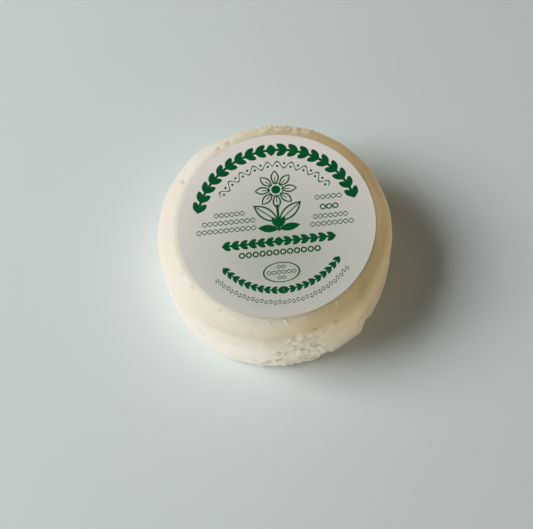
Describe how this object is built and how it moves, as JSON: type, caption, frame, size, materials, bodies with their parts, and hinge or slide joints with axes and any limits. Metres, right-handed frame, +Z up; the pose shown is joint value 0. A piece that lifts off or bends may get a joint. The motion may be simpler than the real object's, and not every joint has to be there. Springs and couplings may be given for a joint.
{
  "type": "cheese wheel",
  "caption": "Small round fresh white cheese with a flat base, a near-straight wall and a rounded shoulder, and a round paper label with green leaf ornament lying on its top.",
  "frame": {"origin": "middle of the flat base, on the surface it rests on", "axes": "+Z up through the top and its label, +X to the reader's right when the label is read from above, +Y towards the label's upper edge"},
  "size_m": [0.0572, 0.0572, 0.0252],
  "materials": {
    "cheese": "satin",
    "label_paper": "matte"
  },
  "bodies": {
    "root": {"cheese_body": "cheese", "paper_label": "label_paper"}
  },
  "joints": []
}
